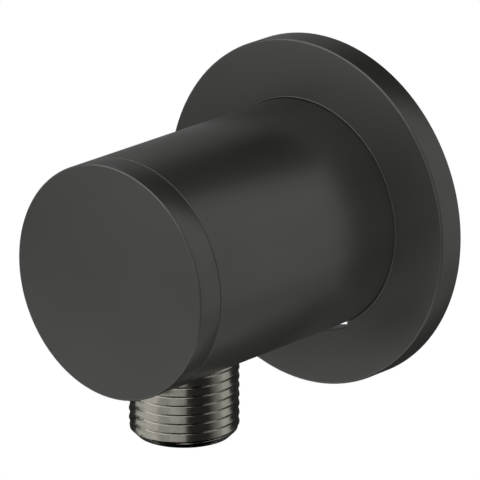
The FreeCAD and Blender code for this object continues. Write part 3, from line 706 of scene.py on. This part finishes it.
def brass():
    """Bare turned brass, with fine turning lines round the housing's axis."""
    made, tree, shader = new_material("bare_brass", Metallic=1)
    blotch = noise(tree, scale=300, detail=3)
    lines = noise(tree, scale=900, detail=3, stretch=INLET_TURNING)
    tint(tree, shader, blotch, dark=(0.62, 0.46, 0.24), light=(0.74, 0.58, 0.33))
    gloss(tree, shader, lines, low=0.22, high=0.4)
    bump(tree, shader, lines, distance=0.005 * MM, strength=0.3)
    return made


def steel():
    """Bright steel of the screw and the spring."""
    made, tree, shader = new_material("screw_steel", Metallic=1)
    grain = noise(tree, scale=1500, detail=3)
    tint(tree, shader, grain, dark=(0.5, 0.5, 0.5), light=(0.62, 0.62, 0.61))
    gloss(tree, shader, grain, low=0.24, high=0.38)
    return made


def rubber():
    """Black rubber of the rings."""
    made, tree, shader = new_material("ring_rubber")
    grain = noise(tree, scale=2500, detail=3)
    tint(tree, shader, grain, dark=(0.016, 0.016, 0.016), light=(0.028, 0.028, 0.028))
    gloss(tree, shader, grain, low=0.5, high=0.7)
    bump(tree, shader, grain, distance=0.01 * MM, strength=0.4)
    return made


def foam():
    """Dark foam of closed cells with open pores at its cut faces, each pore painted darker towards its middle
    as shade.
    """
    made, tree, shader = new_material("seal_foam", Roughness=0.95)
    place = tree.nodes.new("ShaderNodeTexCoord")
    cells = tree.nodes.new("ShaderNodeTexVoronoi")
    cells.inputs["Scale"].default_value = PORE_SCALE
    tree.links.new(place.outputs["Object"], cells.inputs["Vector"])
    pore_depth_and_shade = cells.outputs["Distance"]
    # Darkest in the middle of each pore, where the bump sinks deepest: painted shade in the pores
    tint(tree, shader, pore_depth_and_shade, dark=(0.022, 0.022, 0.023), light=(0.05, 0.05, 0.052))
    bump(tree, shader, pore_depth_and_shade, distance=0.15 * MM, strength=0.8)
    return made


def plastic():
    """White moulded acetal of the valve, slightly translucent."""
    made, tree, shader = new_material("valve_plastic", Subsurface_Weight=0.15, Subsurface_Scale=1 * MM)
    grain = noise(tree, scale=1200, detail=3)
    tint(tree, shader, grain, dark=(0.72, 0.72, 0.69), light=(0.8, 0.8, 0.77))
    gloss(tree, shader, grain, low=0.36, high=0.48)
    bump(tree, shader, grain, distance=0.01 * MM, strength=0.2)
    return made


# Camera, light and surroundings

CAMERA_LENS = 407.74
CAMERA_SENSOR = 36
CAMERA_AZIMUTH = 40.51
CAMERA_ELEVATION = 18.16
CAMERA_DISTANCE = 1025.5 * MM
CAMERA_AIM = Vector((0, -30, 0)) * MM
CAMERA_RIGHT = 3.755 * MM
CAMERA_UP = 0.496 * MM
CLIP_START = 0.05
CLIP_END = 100
FLOOR_Z = -1.5
FLOOR_HALF = 15
WORLD_FILL = 0.15
LAMP_DISTANCE = 0.9
LAMP_SIZE = 0.7


def towards(azimuth, elevation):
    """The direction to a place round the object, from its azimuth and elevation in degrees.

    Azimuth 0 is straight in front of the wall, and 90 is at its right.
    """
    turn, rise = math.radians(azimuth), math.radians(elevation)
    return Vector((math.sin(turn) * math.cos(rise), -math.cos(turn) * math.cos(rise), math.sin(rise)))


def aim(direction):
    """A rotation whose own -Z axis looks back at the object from that direction."""
    return direction.to_track_quat("Z", "Y").to_matrix().to_4x4()


def make_camera():
    """A long lens at the photograph's angle, aimed a little beside the middle of the housing."""
    back = towards(CAMERA_AZIMUTH, CAMERA_ELEVATION)
    right = towards(CAMERA_AZIMUTH + 90, 0)
    up = back.cross(right)
    data = bpy.data.cameras.new("camera")
    data.lens = CAMERA_LENS
    data.sensor_width = CAMERA_SENSOR
    data.clip_start = CLIP_START
    data.clip_end = CLIP_END
    camera = bpy.data.objects.new("camera", data)
    place = CAMERA_AIM + right * CAMERA_RIGHT + up * CAMERA_UP + back * CAMERA_DISTANCE
    camera.matrix_world = Matrix.Translation(place) @ Matrix((right, up, back)).transposed().to_4x4()
    bpy.context.scene.collection.objects.link(camera)
    bpy.context.scene.camera = camera


def seen_rays(tree):
    """1 for rays from the camera, for mirrored rays and for rays through clear things."""
    path = tree.nodes.new("ShaderNodeLightPath")
    total = path.outputs["Is Camera Ray"]
    for other in ("Is Glossy Ray", "Is Transmission Ray"):
        node = tree.nodes.new("ShaderNodeMath")
        node.operation = "MAXIMUM"
        tree.links.new(total, node.inputs[0])
        tree.links.new(path.outputs[other], node.inputs[1])
        total = node.outputs["Value"]
    return total


def make_world():
    """White where it is seen or mirrored, and a plain even fill for everything else."""
    world = bpy.data.worlds.new("surroundings")
    world.use_nodes = True
    tree = world.node_tree
    sky = tree.nodes["Background"]
    sky.inputs["Color"].default_value = (1, 1, 1, 1)
    level = tree.nodes.new("ShaderNodeMapRange")
    level.inputs["To Min"].default_value = WORLD_FILL
    level.inputs["To Max"].default_value = 1
    tree.links.new(seen_rays(tree), level.inputs["Value"])
    tree.links.new(level.outputs["Result"], sky.inputs["Strength"])
    bpy.context.scene.world = world


def make_floor():
    """A wide pale floor far below, white where it is seen or mirrored."""
    mesh = bpy.data.meshes.new("floor")
    corners = ((-1, -1), (1, -1), (1, 1), (-1, 1))
    mesh.from_pydata([(x * FLOOR_HALF, y * FLOOR_HALF, FLOOR_Z) for x, y in corners], [], [(0, 1, 2, 3)])
    made, tree, shader = new_material("floor_paper", Base_Color=(0.8, 0.8, 0.8, 1), Roughness=0.9)
    glow = tree.nodes.new("ShaderNodeEmission")
    mix = tree.nodes.new("ShaderNodeMixShader")
    tree.links.new(seen_rays(tree), mix.inputs["Fac"])
    tree.links.new(shader.outputs["BSDF"], mix.inputs[1])
    tree.links.new(glow.outputs["Emission"], mix.inputs[2])
    tree.links.new(mix.outputs["Shader"], tree.nodes["Material Output"].inputs["Surface"])
    mesh.materials.append(made)
    floor = bpy.data.objects.new("floor", mesh)
    bpy.context.scene.collection.objects.link(floor)


def make_lamp(name, azimuth, elevation, power):
    """A square soft lamp that looks at the object, and doesn't show in what mirrors it."""
    data = bpy.data.lights.new(name, "AREA")
    data.size = LAMP_SIZE
    data.energy = power
    lamp = bpy.data.objects.new(name, data)
    direction = towards(azimuth, elevation)
    lamp.matrix_world = Matrix.Translation(direction * LAMP_DISTANCE) @ aim(direction)
    lamp.visible_camera = False
    lamp.visible_glossy = False
    bpy.context.scene.collection.objects.link(lamp)


# Cards round the object: name, azimuths from and to, elevations from and to, and the level at each side

CARD_DISTANCE = 0.8
CARD_STEPS = 12
CARDS = (
    ("card_overhead", (-70, 35), (29, 66), (3.8, 3.8)),
    ("card_zenith", (100, 290), (66, 90), (0, 0)),
    ("card_below", (0, 360), (-90, -54), (0, 0)),
    ("card_front_foot", (-100, 44), (-54, -42), (3, 2.2)),
    ("card_front_low", (-72, 4), (-42, -22), (0.8, 0.8)),
    ("card_front_level", (-72, 4), (-22, -6), (0.15, 0.92)),
    ("card_front_under", (4, 56), (-42, -32), (1.2, 1.2)),
    ("card_front_dark", (4, 56), (-32, -6), (0.04, 0.04)),
    ("card_right_foot", (102, 138), (-54, -48), (1.6, 1.6)),
    ("card_front_left", (-72, -14), (-6, 29), (1.07, 1.07)),
    ("card_front_gap", (-14, 11), (-6, 29), (0.67, 0.67)),
    ("card_front_right", (11, 42), (-6, 29), (0.85, 0.6)),
    ("card_right_band", (42, 90), (-6, 45), (0.04, 0.04)),
    ("card_right_under", (56, 90), (-54, -6), (0.04, 0.04)),
    ("card_right_ramp", (90, 122), (-48, 45), (0.04, 0.65)),
    ("card_right_low", (122, 150), (-48, -24), (0.42, 0.36)),
    ("card_right_level", (122, 150), (-24, -8), (0.75, 0.65)),
    ("card_right_middle", (122, 146), (-8, 14), (0.95, 0.8)),
    ("card_behind_low", (152, 286), (-54, -8), (0.04, 0.04)),
    ("card_behind_right", (146, 196), (-8, 14), (0.03, 0.03)),
    ("card_behind_side", (156, 196), (14, 30), (0, 0)),
    ("card_behind_middle", (196, 250), (-8, 30), (0.25, 0.25)),
    ("card_behind_left", (250, 286), (-8, 30), (0, 0)),
    ("card_behind_high", (156, 203), (30, 66), (0, 0)),
    ("card_behind_rise", (203, 228), (30, 66), (0.05, 0.4)),
)


def make_card(name, azimuths, elevations, levels):
    """A card on a sphere round the object, seen only in what mirrors it; its level runs with its azimuth."""
    points, strengths, faces = [], [], []
    for row in range(CARD_STEPS + 1):
        for column in range(CARD_STEPS + 1):
            across, high = column / CARD_STEPS, row / CARD_STEPS
            azimuth = azimuths[0] + (azimuths[1] - azimuths[0]) * across
            elevation = elevations[0] + (elevations[1] - elevations[0]) * high
            points.append(CARD_DISTANCE * towards(azimuth, elevation))
            strengths.append(levels[0] + (levels[1] - levels[0]) * across)
    for row in range(CARD_STEPS):
        for column in range(CARD_STEPS):
            corner = row * (CARD_STEPS + 1) + column
            faces.append((corner, corner + 1, corner + CARD_STEPS + 2, corner + CARD_STEPS + 1))
    mesh = bpy.data.meshes.new(name)
    mesh.from_pydata(points, [], faces)
    mesh.attributes.new("level", "FLOAT", "POINT").data.foreach_set("value", strengths)
    made = bpy.data.materials.new(name)
    made.use_nodes = True
    tree = made.node_tree
    tree.nodes.remove(tree.nodes["Principled BSDF"])
    level = tree.nodes.new("ShaderNodeAttribute")
    level.attribute_name = "level"
    glow = tree.nodes.new("ShaderNodeEmission")
    tree.links.new(level.outputs["Fac"], glow.inputs["Strength"])
    tree.links.new(glow.outputs["Emission"], tree.nodes["Material Output"].inputs["Surface"])
    mesh.materials.append(made)
    card = bpy.data.objects.new(name, mesh)
    for kind in ("camera", "diffuse", "shadow", "transmission", "volume_scatter"):
        setattr(card, f"visible_{kind}", False)
    bpy.context.scene.collection.objects.link(card)


# Everything together

def dress(piece, node, finish):
    """Let a piece stand for a node, ride with the fixed body and take a slot's finish."""
    piece.data.materials.append(finish)
    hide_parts(node)
    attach(piece, "elbow")


coat, thread_metal, turned_brass, bright_steel = black_coat(), nickel(), brass(), steel()
ring_rubber, seal_foam, moulding = rubber(), foam(), plastic()

dress(make_rosette(), "rosette", coat)
dress(make_housing(), "housing", coat)
dress(make_front_cap(), "front_cap", coat)
dress(make_outlet_nipple(), "outlet_nipple", thread_metal)
dress(make_wall_nipple(), "wall_nipple", turned_brass)
spring = make_spring()
dress(spring, "valve_spring", bright_steel)
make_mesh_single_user(spring)

for node, finish in (
    ("rosette_seal", seal_foam), ("cap_o_ring", ring_rubber), ("spigot_o_rings", ring_rubber),
    ("outlet_o_ring", ring_rubber), ("valve_o_ring", ring_rubber), ("poppet_seal", ring_rubber),
    ("grub_screw", bright_steel), ("valve_cage", moulding), ("valve_guide", moulding),
    ("valve_poppet", moulding),
):
    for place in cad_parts[node].material_slots:
        place.material = finish

make_camera()
make_world()
make_floor()
make_lamp("key_lamp", azimuth=30, elevation=6, power=9.2)
make_lamp("side_lamp", azimuth=80, elevation=6, power=4)
make_lamp("left_lamp", azimuth=-55, elevation=25, power=3)
for card in CARDS:
    make_card(*card)

bpy.context.scene.view_settings.view_transform = "Standard"
